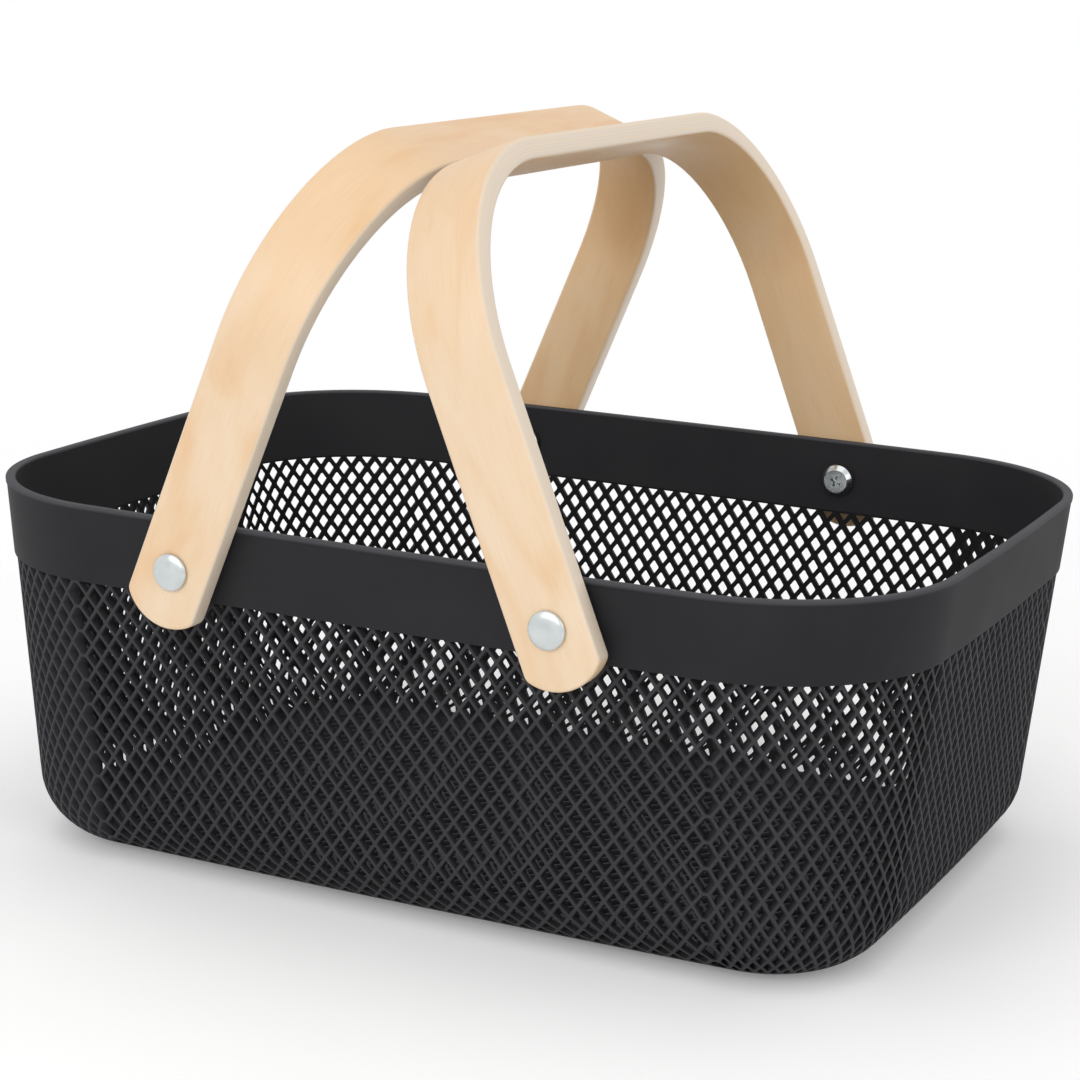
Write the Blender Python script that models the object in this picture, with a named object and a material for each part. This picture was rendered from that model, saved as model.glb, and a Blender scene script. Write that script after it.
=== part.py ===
# Carrying basket: one moulded plastic tub with two bent plywood handles that swing on four pivots.
# Frame: metres, +Z up. The origin is on the ground under the middle of the tub, +X runs along its
# length and the long sides face -Y (front) and +Y (back).

import math

import bpy
import bmesh
from mathutils import Matrix, Vector

# Tub, outside sizes
RIM_LENGTH = 0.360
RIM_WIDTH = 0.2624
TUB_HEIGHT = 0.1347
RIM_CORNER_RADIUS = 0.067
FLOOR_CORNER_RADIUS = 0.0437
END_WALL_TAPER = 0.0149
SIDE_WALL_TAPER = 0.0165
END_WALL_BOW = 0.0009
SIDE_WALL_BOW = 0.0014
FLOOR_FILLET = 0.0234

# Tub, walls and rim
WALL = 0.0024
BAND_WALL = 0.0032
BAND_HEIGHT = 0.0280
BAND_STEP = 0.0008
BEAD_HEIGHT = 0.0020
BEAD_PROUD = 0.0003

# Tub, lattice. Each opening stands for about twelve of the moulding's, 3.5 times as long and as wide
# and at the same share of the wall, so that the solid has few faces
LATTICE_COLUMNS = 44
LATTICE_ROWS = 5
LATTICE_FOOT = 0.0160
LATTICE_HEAD = 0.0022
OPEN_SHARE = 0.77
FLOOR_COLUMN = 0.0241
FLOOR_BORDER = 0.0020

# Pivots
PIVOT_SPACING = 0.140
PIVOT_BELOW_RIM = 0.0154
PAD_DIAMETER = 0.0160
PAD_PROUD = 0.0002
SEAT_DIAMETER = 0.0136
HOLE_CLEARANCE = 0.0003
GAP = 0.0003

# Handles
STRAP_WIDTH = 0.0276
STRAP_THICKNESS = 0.0080
STRAP_RISE = 0.1448
STRAP_BELOW_PIVOT = 0.0204
STRAP_BEND_RADIUS = 0.0610
STRAP_SPLAY = 0.0015
STRAP_EDGE = 0.0009
STRAP_RIM_CLEARANCE = 0.0003
HANDLE_REST_GAP = 0.0006

# Fasteners
BARREL_DIAMETER = 0.0060
CAP_DIAMETER = 0.0128
CAP_HEIGHT = 0.0022
CAP_EDGE = 0.0008
SCREW_HEAD_DIAMETER = 0.0128
SCREW_FACE_DIAMETER = 0.0094
SCREW_HEAD_HEIGHT = 0.0024
SCREW_HEAD_EDGE = 0.0006
SCREW_SHANK_DIAMETER = 0.0034
SCREW_SHANK_LENGTH = 0.0100
RECESS_SPAN = 0.0052
RECESS_WIDTH = 0.0011
RECESS_DEPTH = 0.0014
WASHER_DIAMETER = 0.0150

# How finely round shapes are divided
CORNER_STEPS = 8
SIDE_STEPS = 4
FILLET_STEPS = 5
BEND_STEPS = 12
END_STEPS = 7
TURN_STEPS = 32
# A cutter reaches this far past what it cuts
OVERRUN = 0.0020

# Places that follow from the sizes above
PIVOT_X = PIVOT_SPACING / 2
PIVOT_Z = TUB_HEIGHT - PIVOT_BELOW_RIM
WALL_LEAN = SIDE_WALL_TAPER / TUB_HEIGHT
LATTICE_RISE = TUB_HEIGHT - BAND_HEIGHT - LATTICE_HEAD - LATTICE_FOOT
ROW_STEP = LATTICE_RISE / (LATTICE_ROWS - 1 + 2 * OPEN_SHARE)


def inset_at(height, taper):
    """How far a wall has drawn in at a height, measured from its place at the rim."""
    return taper * (TUB_HEIGHT - height) / TUB_HEIGHT


def side_reach(x, height, inward=0.0):
    """Distance from the middle plane to a long wall's outer face, or to a face inside it."""
    straight = RIM_LENGTH / 2 - RIM_CORNER_RADIUS
    bow = SIDE_WALL_BOW * (x / straight) ** 2
    return RIM_WIDTH / 2 - inset_at(height, SIDE_WALL_TAPER) - bow - inward


# Stations across one pivot, as distances from the tub's middle plane
PAD_RISE = WALL_LEAN * PAD_DIAMETER / 2 + PAD_PROUD
SEAT_RISE = WALL_LEAN * SEAT_DIAMETER / 2 + PAD_PROUD
PAD_FACE = side_reach(PIVOT_X, PIVOT_Z) + PAD_RISE
SEAT_FACE = side_reach(PIVOT_X, PIVOT_Z, BAND_WALL) - SEAT_RISE
STRAP_LEAN = math.atan2(STRAP_SPLAY, STRAP_RISE - STRAP_BEND_RADIUS)
FOOT_DROP = STRAP_BELOW_PIVOT * math.tan(STRAP_LEAN)
RIM_REACH = side_reach(PIVOT_X - STRAP_BELOW_PIVOT, TUB_HEIGHT) + BEAD_PROUD
STRAP_INNER = RIM_REACH + STRAP_RIM_CLEARANCE + FOOT_DROP
WASHER_INNER = PAD_FACE + GAP / 2
WASHER_OUTER = STRAP_INNER - GAP
STRAP_OUTER = STRAP_INNER + STRAP_THICKNESS
CAP_SEAT = STRAP_OUTER + GAP
SCREW_SEAT = SEAT_FACE - GAP / 2
BARREL_END = SEAT_FACE + GAP
HOLE_DIAMETER = BARREL_DIAMETER + 2 * HOLE_CLEARANCE
BORE_DIAMETER = SCREW_SHANK_DIAMETER + 2 * HOLE_CLEARANCE

# The two handles lean in until their top bars meet over the middle of the tub
STRAP_TOP = STRAP_RISE + STRAP_THICKNESS
HANDLE_DIAGONAL = math.hypot(STRAP_TOP, STRAP_WIDTH / 2)
HANDLE_CORNER_ANGLE = math.atan2(STRAP_WIDTH / 2, STRAP_TOP)
REST_REACH_SHARE = (PIVOT_X - HANDLE_REST_GAP / 2) / HANDLE_DIAGONAL
HANDLE_LEAN = math.asin(min(1.0, REST_REACH_SHARE)) - HANDLE_CORNER_ANGLE

# Colours are linear, read from the photo
MATERIALS = {
    "black_plastic": {"colour": (0.031, 0.031, 0.034), "roughness": 0.55, "metallic": 0.0},
    "birch_plywood": {"colour": (0.80, 0.62, 0.41), "roughness": 0.60, "metallic": 0.0},
    "zinc_plated_steel": {"colour": (0.62, 0.66, 0.70), "roughness": 0.28, "metallic": 1.0},
    "nylon": {"colour": (0.05, 0.05, 0.05), "roughness": 0.45, "metallic": 0.0},
}


def clear_scene():
    for item in list(bpy.data.objects):
        bpy.data.objects.remove(item, do_unlink=True)


def make_material(name, node_name):
    look = MATERIALS[name]
    material = bpy.data.materials.new(f"{name}_{node_name}")
    material.use_nodes = True
    shader = material.node_tree.nodes["Principled BSDF"]
    shader.inputs["Base Color"].default_value = (*look["colour"], 1.0)
    shader.inputs["Roughness"].default_value = look["roughness"]
    shader.inputs["Metallic"].default_value = look["metallic"]
    return material


def add_object(name, mesh, material_name=None):
    item = bpy.data.objects.new(name, mesh)
    bpy.context.scene.collection.objects.link(item)
    if material_name:
        mesh.materials.append(make_material(material_name, name))
        mesh.shade_smooth()
        mesh.set_sharp_from_angle(angle=math.radians(32))
    return item


def mesh_from_rings(name, rings):
    """Skin a row of rings that all have the same number of points, and cap its two ends."""
    shape = bmesh.new()
    loops = [[shape.verts.new(point) for point in ring] for ring in rings]
    count = len(loops[0])
    for lower, upper in zip(loops, loops[1:]):
        for i in range(count):
            j = (i + 1) % count
            shape.faces.new((lower[i], lower[j], upper[j], upper[i]))
    shape.faces.new(loops[0])
    shape.faces.new(loops[-1])
    bmesh.ops.recalc_face_normals(shape, faces=shape.faces)
    mesh = bpy.data.meshes.new(name)
    shape.to_mesh(mesh)
    shape.free()
    return mesh


def turned_mesh(name, profile, direction):
    """Turn a profile of (radius, distance) points about the local Y axis, facing +Y or -Y."""
    shape = bmesh.new()
    points = [shape.verts.new((radius, distance * direction, 0.0)) for radius, distance in profile]
    edges = [shape.edges.new(pair) for pair in zip(points, points[1:])]
    if profile[0][0] > 0.0:
        edges.append(shape.edges.new((points[-1], points[0])))
    bmesh.ops.spin(
        shape, geom=points + edges, cent=(0, 0, 0), axis=(0, 1, 0),
        angle=math.tau, steps=TURN_STEPS, use_merge=True, use_duplicate=False,
    )
    bmesh.ops.remove_doubles(shape, verts=shape.verts, dist=GAP / 100)
    bmesh.ops.recalc_face_normals(shape, faces=shape.faces)
    mesh = bpy.data.meshes.new(name)
    shape.to_mesh(mesh)
    shape.free()
    return mesh


def add_boolean(target, tool, operation):
    tool.hide_render = True
    tool.display_type = "WIRE"
    cut = target.modifiers.new(f"{operation.lower()}_{tool.name}", "BOOLEAN")
    cut.operation = operation
    cut.solver = "EXACT"
    cut.object = tool


def add_drill(name, y_side, near_face, far_face):
    """The cutter of one pivot hole, from just short of one face to just past the other."""
    near = near_face - OVERRUN
    far = far_face + OVERRUN
    radius = HOLE_DIAMETER / 2
    profile = [(0.0, near), (radius, near), (radius, far), (0.0, far)]
    return add_object(name, turned_mesh("drill", profile, y_side))


def tub_ring(height, inward=0.0, extra=0.0):
    """One outline of the tub: four slightly bowed sides and four round corners."""
    drop_share = (TUB_HEIGHT - height) / TUB_HEIGHT
    half_length = RIM_LENGTH / 2 - END_WALL_TAPER * drop_share - inward + extra
    half_width = RIM_WIDTH / 2 - SIDE_WALL_TAPER * drop_share - inward + extra
    radius = RIM_CORNER_RADIUS + (FLOOR_CORNER_RADIUS - RIM_CORNER_RADIUS) * drop_share
    radius = max(radius - inward + extra, WALL)
    straight_y = half_width - SIDE_WALL_BOW - radius
    straight_x = half_length - END_WALL_BOW - radius
    quarter = []
    for i in range(SIDE_STEPS):
        share = i / SIDE_STEPS
        quarter.append((half_length - END_WALL_BOW * share ** 2, straight_y * share))
    for i in range(CORNER_STEPS + 1):
        turn = math.pi / 2 * i / CORNER_STEPS
        quarter.append((straight_x + radius * math.cos(turn), straight_y + radius * math.sin(turn)))
    for i in range(SIDE_STEPS - 1, 0, -1):
        share = i / SIDE_STEPS
        quarter.append((straight_x * share, half_width - SIDE_WALL_BOW * share ** 2))
    points = list(quarter)
    points.append((0.0, half_width))
    points += [(-x, y) for x, y in reversed(quarter)]
    points += [(-x, -y) for x, y in quarter[1:]]
    points.append((0.0, -half_width))
    points += [(x, -y) for x, y in reversed(quarter[1:])]
    return [(x, y, height) for x, y in points]


def tub_fillet_rings(radius, floor_height, inward):
    """Rings of the rounded edge between the floor and the walls, from the floor up."""
    rings = []
    for i in range(FILLET_STEPS + 1):
        turn = math.pi / 2 * i / FILLET_STEPS
        height = floor_height + radius * (1 - math.cos(turn))
        rings.append(tub_ring(height, inward + radius * (1 - math.sin(turn))))
    return rings


def tub_mesh():
    """Outside up from the floor, over the rim, and down the inside."""
    band_foot = TUB_HEIGHT - BAND_HEIGHT
    bead_foot = TUB_HEIGHT - BEAD_HEIGHT
    lattice_in = BAND_STEP
    rings = tub_fillet_rings(FLOOR_FILLET, 0.0, lattice_in)
    rings.append(tub_ring(band_foot, lattice_in))
    rings.append(tub_ring(band_foot + BAND_STEP / 2))
    rings.append(tub_ring(bead_foot))
    rings.append(tub_ring(bead_foot + BEAD_PROUD, extra=BEAD_PROUD))
    rings.append(tub_ring(TUB_HEIGHT - BEAD_PROUD, extra=BEAD_PROUD))
    rings.append(tub_ring(TUB_HEIGHT))
    rings.append(tub_ring(TUB_HEIGHT, BAND_WALL - BEAD_PROUD))
    rings.append(tub_ring(TUB_HEIGHT - BEAD_PROUD, BAND_WALL))
    rings.append(tub_ring(band_foot, BAND_WALL))
    inner_fillet = tub_fillet_rings(FLOOR_FILLET - WALL, WALL, lattice_in + WALL)
    rings += list(reversed(inner_fillet))
    return mesh_from_rings("basket_body", rings)


def wall_inset(height):
    """How far the lattice wall's outer face lies inside the outline, with its round foot."""
    drop = max(0.0, FLOOR_FILLET - height)
    return BAND_STEP + FLOOR_FILLET - math.sqrt(FLOOR_FILLET ** 2 - drop ** 2)


def place_round(height, column):
    """A point of the lattice wall's outer face, some columns round from the right end's middle."""
    ring = [Vector(point) for point in tub_ring(height, wall_inset(height))]
    sides = list(zip(ring, ring[1:] + ring[:1]))
    left = sum((b - a).length for a, b in sides) * (column / LATTICE_COLUMNS % 1.0)
    for a, b in sides:
        length = (b - a).length
        if left <= length:
            return a.lerp(b, left / length)
        left -= length
    return ring[0]


def add_prism(shape, corners, way, near, far):
    """A prism on four corners, reaching from near to far along a way."""
    ends = [[shape.verts.new(corner + way * reach) for corner in corners] for reach in (near, far)]
    for i in range(len(corners)):
        j = (i + 1) % len(corners)
        shape.faces.new((ends[0][i], ends[0][j], ends[1][j], ends[1][i]))
    for end in ends:
        shape.faces.new(end)


def add_wall_prisms(shape):
    """The cutters of the walls' diamond openings, each row half a column on from the last."""
    tall, wide = ROW_STEP * OPEN_SHARE, OPEN_SHARE / 2
    for row in range(LATTICE_ROWS):
        height = LATTICE_FOOT + tall + row * ROW_STEP
        for i in range(LATTICE_COLUMNS):
            column = i + row % 2 / 2
            corners = [
                place_round(height, column - wide), place_round(height - tall, column),
                place_round(height, column + wide), place_round(height + tall, column),
            ]
            along = corners[2] - corners[0]
            outward = Vector((along.y, -along.x, 0.0)).normalized()
            add_prism(shape, corners, outward, OVERRUN, -WALL - OVERRUN)


def add_floor_prisms(shape):
    """The cutters of the floor's diamond openings, wherever a whole diamond fits the flat floor."""
    edge = [Vector(point) for point in tub_ring(0.0, BAND_STEP + FLOOR_FILLET + FLOOR_BORDER)]
    sides = list(zip(edge, edge[1:] + edge[:1]))
    reach = LATTICE_COLUMNS // 2
    wide, tall = FLOOR_COLUMN / 2 * OPEN_SHARE, ROW_STEP * OPEN_SHARE
    for row in range(-reach, reach + 1):
        for i in range(-reach, reach + 1):
            centre = Vector(((i + (row + 1) % 2 / 2) * FLOOR_COLUMN, row * ROW_STEP, 0.0))
            corners = [
                centre + Vector(offset)
                for offset in ((wide, 0.0, 0.0), (0.0, tall, 0.0), (-wide, 0.0, 0.0), (0.0, -tall, 0.0))
            ]
            if all((b - a).cross(corner - a).z > 0.0 for a, b in sides for corner in corners):
                add_prism(shape, corners, Vector((0.0, 0.0, 1.0)), -OVERRUN, WALL + OVERRUN)


def add_lattice_cutter():
    shape = bmesh.new()
    add_wall_prisms(shape)
    add_floor_prisms(shape)
    bmesh.ops.recalc_face_normals(shape, faces=shape.faces)
    mesh = bpy.data.meshes.new("lattice_openings")
    shape.to_mesh(mesh)
    shape.free()
    return add_object("lattice_openings", mesh)


def pivot_sites():
    """The four pivots: name, side along X, side along Y."""
    for y_name, y_side in (("front", -1), ("back", 1)):
        for x_name, x_side in (("left", -1), ("right", 1)):
            yield f"{y_name}_{x_name}", x_side, y_side


def build_tub():
    tub = add_object("basket_body", tub_mesh(), "black_plastic")
    middle = side_reach(PIVOT_X, PIVOT_Z, BAND_WALL / 2)
    pad_profile = [
        (0.0, SEAT_FACE), (SEAT_DIAMETER / 2, SEAT_FACE), (SEAT_DIAMETER / 2, middle),
        (PAD_DIAMETER / 2, middle), (PAD_DIAMETER / 2, PAD_FACE), (0.0, PAD_FACE),
    ]
    for site, x_side, y_side in pivot_sites():
        pad = add_object(f"pad_{site}", turned_mesh("pad", pad_profile, y_side))
        pad.location = (x_side * PIVOT_X, 0.0, PIVOT_Z)
        add_boolean(tub, pad, "UNION")
    for site, x_side, y_side in pivot_sites():
        drill = add_drill(f"drill_{site}", y_side, SEAT_FACE, PAD_FACE)
        drill.location = (x_side * PIVOT_X, 0.0, PIVOT_Z)
        add_boolean(tub, drill, "DIFFERENCE")
    add_boolean(tub, add_lattice_cutter(), "DIFFERENCE")
    return tub


def strap_path():
    """Half of the strap's inner line, from the foot of the back leg to the middle of the bar.

    Each station is (y, z, outward y, outward z, half width), with the pivot at z = 0.
    """
    end_radius = STRAP_WIDTH / 2
    end_centre = -STRAP_BELOW_PIVOT + end_radius
    bend_foot = STRAP_RISE - STRAP_BEND_RADIUS
    outward = (math.cos(STRAP_LEAN), -math.sin(STRAP_LEAN))
    stations = []
    for i in range(1, END_STEPS + 1):
        turn = math.pi / 2 * i / END_STEPS
        half_width = end_radius * math.sin(turn)
        height = end_centre - end_radius * math.cos(turn)
        stations.append((STRAP_INNER + height * math.tan(STRAP_LEAN), height, *outward, half_width))
    stations.append((STRAP_INNER, 0.0, *outward, end_radius))
    stations.append((STRAP_INNER + STRAP_SPLAY / 2, bend_foot / 2, *outward, end_radius))
    centre_y = STRAP_INNER + STRAP_SPLAY - STRAP_BEND_RADIUS * math.cos(STRAP_LEAN)
    centre_z = bend_foot
    for i in range(BEND_STEPS + 1):
        turn = -STRAP_LEAN + (math.pi / 2 + STRAP_LEAN) * i / BEND_STEPS
        y = centre_y + STRAP_BEND_RADIUS * math.cos(turn)
        z = centre_z + STRAP_BEND_RADIUS * math.sin(turn)
        stations.append((y, z, math.cos(turn), math.sin(turn), end_radius))
    return stations


def strap_mesh(name):
    """A flat strap bent to a U, with eased edges and round feet. Its wide faces look outward."""
    half = strap_path()
    stations = half + [(-y, z, -out_y, out_z, wide) for y, z, out_y, out_z, wide in reversed(half)]
    rings = []
    for y, z, out_y, out_z, wide in stations:
        edge = min(STRAP_EDGE, wide / 2)
        corners = [
            (-wide, edge), (-wide + edge, 0.0), (wide - edge, 0.0), (wide, edge),
            (wide, STRAP_THICKNESS - edge), (wide - edge, STRAP_THICKNESS),
            (-wide + edge, STRAP_THICKNESS), (-wide, STRAP_THICKNESS - edge),
        ]
        rings.append([(across, y + out_y * deep, z + out_z * deep) for across, deep in corners])
    return mesh_from_rings(name, rings)


def build_handle(name, x_side):
    """A strap hung on an empty at its joint, which leans it towards the middle of the tub."""
    pivot = bpy.data.objects.new(f"{name}_pivot", None)
    bpy.context.scene.collection.objects.link(pivot)
    pivot.location = (x_side * PIVOT_X, 0.0, PIVOT_Z)
    pivot.rotation_euler = (0.0, -x_side * HANDLE_LEAN, 0.0)
    strap = add_object(name, strap_mesh(name), "birch_plywood")
    strap.parent = pivot
    for y_side in (-1, 1):
        drill = add_drill(f"drill_{name}_{y_side}", y_side, STRAP_INNER, STRAP_OUTER)
        drill.parent = pivot
        add_boolean(strap, drill, "DIFFERENCE")
    return strap


def build_cap_nut(site, x_side, y_side):
    """A low dome on a round edge, and the barrel behind it with the screw's bore."""
    head = CAP_DIAMETER / 2
    barrel = BARREL_DIAMETER / 2
    bore = BORE_DIAMETER / 2
    bore_end = SCREW_SEAT + SCREW_SHANK_LENGTH + GAP
    dome_rise = CAP_HEIGHT - CAP_EDGE
    dome = [
        (head * math.cos(turn), CAP_SEAT + CAP_EDGE + dome_rise * math.sin(turn))
        for turn in (math.pi / 2 * i / FILLET_STEPS for i in range(FILLET_STEPS))
    ]
    profile = [
        (0.0, bore_end), (bore, bore_end), (bore, BARREL_END), (barrel, BARREL_END),
        (barrel, CAP_SEAT), (head, CAP_SEAT), *dome, (0.0, CAP_SEAT + CAP_HEIGHT),
    ]
    name = f"{site}_cap_nut"
    nut = add_object(name, turned_mesh(name, profile, y_side), "zinc_plated_steel")
    nut.location = (x_side * PIVOT_X, 0.0, PIVOT_Z)
    return nut


def build_washer(site, x_side, y_side):
    hole = HOLE_DIAMETER / 2
    rim = WASHER_DIAMETER / 2
    profile = [
        (hole, WASHER_INNER), (rim, WASHER_INNER), (rim, WASHER_OUTER), (hole, WASHER_OUTER),
    ]
    name = f"{site}_washer"
    washer = add_object(name, turned_mesh(name, profile, y_side), "nylon")
    washer.location = (x_side * PIVOT_X, 0.0, PIVOT_Z)
    return washer


def build_screw(site, x_side, y_side):
    """A bevelled head inside the tub, with a cross recess, and the shank that the nut takes."""
    shank = SCREW_SHANK_DIAMETER / 2
    head = SCREW_HEAD_DIAMETER / 2
    face = SCREW_FACE_DIAMETER / 2
    top = SCREW_SEAT - SCREW_HEAD_HEIGHT
    profile = [
        (0.0, top), (face, top), (head, SCREW_SEAT - SCREW_HEAD_EDGE), (head, SCREW_SEAT),
        (shank, SCREW_SEAT), (shank, SCREW_SEAT + SCREW_SHANK_LENGTH),
        (0.0, SCREW_SEAT + SCREW_SHANK_LENGTH),
    ]
    name = f"{site}_screw"
    screw = add_object(name, turned_mesh(name, profile, y_side), "zinc_plated_steel")
    screw.location = (x_side * PIVOT_X, 0.0, PIVOT_Z)
    for i, (wide, tall) in enumerate(((RECESS_SPAN, RECESS_WIDTH), (RECESS_WIDTH, RECESS_SPAN))):
        shape = bmesh.new()
        bmesh.ops.create_cube(shape, size=1.0)
        deep = RECESS_DEPTH + OVERRUN
        bmesh.ops.scale(shape, verts=shape.verts, vec=Vector((wide, deep, tall)))
        centre = (top + RECESS_DEPTH - deep / 2) * y_side
        bmesh.ops.translate(shape, verts=shape.verts, vec=Vector((0.0, centre, 0.0)))
        bmesh.ops.transform(shape, verts=shape.verts, matrix=Matrix.Rotation(math.pi / 8, 4, "Y"))
        mesh = bpy.data.meshes.new("recess")
        shape.to_mesh(mesh)
        shape.free()
        slot = add_object(f"recess_{site}_{i}", mesh)
        slot.location = screw.location
        add_boolean(screw, slot, "DIFFERENCE")
    return screw


def main():
    clear_scene()
    build_tub()
    build_handle("left_handle", -1)
    build_handle("right_handle", 1)
    for site, x_side, y_side in pivot_sites():
        build_cap_nut(site, x_side, y_side)
        build_washer(site, x_side, y_side)
        build_screw(site, x_side, y_side)


main()
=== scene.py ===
import functools
import math

import bmesh
import bpy
import numpy as np
from mathutils import Matrix, Vector
from mathutils.geometry import delaunay_2d_cdt


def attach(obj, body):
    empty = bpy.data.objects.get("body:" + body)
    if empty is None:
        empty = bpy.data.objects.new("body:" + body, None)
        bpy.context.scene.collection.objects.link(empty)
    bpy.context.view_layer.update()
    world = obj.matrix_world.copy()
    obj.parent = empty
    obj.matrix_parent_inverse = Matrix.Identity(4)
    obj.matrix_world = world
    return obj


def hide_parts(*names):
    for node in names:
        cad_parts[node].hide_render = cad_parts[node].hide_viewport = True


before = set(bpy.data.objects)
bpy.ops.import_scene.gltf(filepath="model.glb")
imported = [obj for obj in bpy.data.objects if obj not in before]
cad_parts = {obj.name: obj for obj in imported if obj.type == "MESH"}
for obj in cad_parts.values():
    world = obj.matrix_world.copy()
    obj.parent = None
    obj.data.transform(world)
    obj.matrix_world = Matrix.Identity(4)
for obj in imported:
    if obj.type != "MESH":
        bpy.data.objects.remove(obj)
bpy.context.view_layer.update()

# Every length is in metres. The tub's outside, as the solids have it
RIM_LENGTH, RIM_WIDTH, TUB_HEIGHT = 0.360, 0.2624, 0.1347
RIM_CORNER_RADIUS, FLOOR_CORNER_RADIUS = 0.067, 0.0437
END_WALL_TAPER, SIDE_WALL_TAPER = 0.0149, 0.0165
END_WALL_BOW, SIDE_WALL_BOW = 0.0009, 0.0014
FLOOR_FILLET = 0.0234
BAND_WALL, BAND_HEIGHT, BAND_STEP = 0.0032, 0.0280, 0.0008
BAND_FOOT = TUB_HEIGHT - BAND_HEIGHT
BEAD_HEIGHT, BEAD_PROUD = 0.0020, 0.0003
RIM_EDGE, RIM_STEPS = 0.0006, 4
# How far down from its top the rim carries a painted highlight, and where that painted highlight has ended
PAINTED_HIGHLIGHT_DEPTH, PAINTED_HIGHLIGHT_END = 1.2 * RIM_EDGE, 1.8 * RIM_EDGE

# The lattice: rows of diamonds, each row half a column along from the next
ROW_PITCH = 0.00912
ROW_ZERO = 0.04685
LATTICE_WALL = 0.0023
RIB, RIB_EASE, RIB_EASE_DEPTH = 0.00120, 0.00020, 0.00018
INNER_RIB = 0.00192
HOLE_CORNER, INNER_CORNER = 0.00050, 0.00060
# Columns from the middle of a long wall to its seam, round the corner, and to the middle of the end
FRONT_COLUMNS, CORNER_COLUMNS, END_COLUMNS = 17, 13, 9.5
# A seam is where two slides of the mould met. Its cells are wider by this strip
SEAM_STRIP, INNER_SEAM_STRIP = 0.0022, 0.0003
SEAM_LEVEL = 0.060
FRONT_SEAM, FRONT_SEAM_LEAN = 0.11705, 0.040
END_SEAM, END_SEAM_LEAN = 0.19944, 0.180
LATTICE_TOP_ROW, LATTICE_FOOT_ROW = 6.617, -5.29
LEAST_OPEN_HEIGHT = 0.4
# A rounded corner takes at most this share of a hole's side
LONGEST_EASE = 0.42
FLOOR_COLUMN = 0.0069
FLOOR_MARGIN = 0.0014
# Cells to each side of the floor's middle, which reach past its edge
FLOOR_CELLS = 40
# Corners of cells are matched to this many places in a column
CORNER_PLACES = 2048
# Halvings in the search for the inside of the wall
HALVINGS = 26
LATTICE_SHARP = 44.0

# Pivots and what is fastened there
PIVOT_X = 0.070
PIVOT_Z = TUB_HEIGHT - 0.0154
PAD_DIAMETER, PAD_PROUD, SEAT_DIAMETER = 0.0160, 0.0002, 0.0136
HOLE_DIAMETER, BARREL_DIAMETER, BORE_DIAMETER = 0.0066, 0.0060, 0.0040
GAP = 0.0003
# Points nearer to each other than these are one point: after a cut, on a turned piece, elsewhere
WELD, TURNED_WELD, FINE_WELD = 0.000002, GAP / 100, GAP / 1000
# How far a drill reaches past the strap that it cuts
DRILL_PAST = GAP * 8
CAP_DIAMETER, CAP_HEIGHT, CAP_EDGE, DOME_STEPS = 0.0128, 0.0022, 0.0008, 14
SCREW_HEAD_DIAMETER, SCREW_FACE_DIAMETER = 0.0128, 0.0094
SCREW_HEAD_HEIGHT, SCREW_HEAD_EDGE = 0.0024, 0.0006
SCREW_SHANK_DIAMETER, SCREW_SHANK_LENGTH = 0.0034, 0.0100
RECESS_SPAN, RECESS_WIDTH, RECESS_DEPTH = 0.0064, 0.0014, 0.0014
RECESS_TAPER, RECESS_TURN = 0.45, math.pi / 8
WASHER_DIAMETER = 0.0150
METAL_EDGE = 0.00015

# Handles
STRAP_WIDTH, STRAP_THICKNESS, STRAP_EDGE = 0.0276, 0.0080, 0.00115
STRAP_RISE, STRAP_BELOW_PIVOT = 0.1448, 0.0204
STRAP_BEND_RADIUS, STRAP_SPLAY = 0.0610, 0.0015
STRAP_RIM_CLEARANCE, HANDLE_REST_GAP = 0.0003, 0.0006
# A strap's foot is a shallow arc that meets its sides in small rounded corners
FOOT_ARC, FOOT_CORNER = 0.0175, 0.0040
EASE_STEPS = 3
VENEERS = 7
# How strongly each strap's face deepens in tone towards the bar, partly the wood's own tone and
# partly a painted warm glow of light bounced round the bend. TONE_START and TONE_SPREAD are
# shares of the way up from the foot
BEND_TONE_AND_GLOW = {"left": 0.85, "right": 0.35}
TONE_START, TONE_SPREAD = 0.25, 0.6


def wall_drop(height, taper):
    """How far a wall has drawn in at a height, from its place at the rim."""
    return taper * (TUB_HEIGHT - height) / TUB_HEIGHT


def corner_radius(height):
    return RIM_CORNER_RADIUS - wall_drop(height, RIM_CORNER_RADIUS - FLOOR_CORNER_RADIUS)


def half_length(height):
    return RIM_LENGTH / 2 - wall_drop(height, END_WALL_TAPER)


def half_width(height):
    return RIM_WIDTH / 2 - wall_drop(height, SIDE_WALL_TAPER)


def straights(height):
    """The straight part of a quarter of the outline, along the long wall and along the end."""
    radius = corner_radius(height)
    along = half_length(height) - END_WALL_BOW - radius
    return along, half_width(height) - SIDE_WALL_BOW - radius


def side_reach(x, height, inward=0.0):
    """Distance from the middle plane to a long wall's outer face, or to a face inside it."""
    straight = RIM_LENGTH / 2 - RIM_CORNER_RADIUS
    return half_width(height) - SIDE_WALL_BOW * (x / straight) ** 2 - inward


# Stations across one pivot and along a handle, worked out as the solids do
WALL_LEAN = SIDE_WALL_TAPER / TUB_HEIGHT
PAD_FACE = side_reach(PIVOT_X, PIVOT_Z) + WALL_LEAN * PAD_DIAMETER / 2 + PAD_PROUD
SEAT_FACE = side_reach(PIVOT_X, PIVOT_Z, BAND_WALL) - WALL_LEAN * SEAT_DIAMETER / 2 - PAD_PROUD
STRAP_LEAN = math.atan2(STRAP_SPLAY, STRAP_RISE - STRAP_BEND_RADIUS)
RIM_REACH = side_reach(PIVOT_X - STRAP_BELOW_PIVOT, TUB_HEIGHT) + BEAD_PROUD
STRAP_INNER = RIM_REACH + STRAP_RIM_CLEARANCE + STRAP_BELOW_PIVOT * math.tan(STRAP_LEAN)
STRAP_OUTER = STRAP_INNER + STRAP_THICKNESS
CAP_SEAT = STRAP_OUTER + GAP
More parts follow.
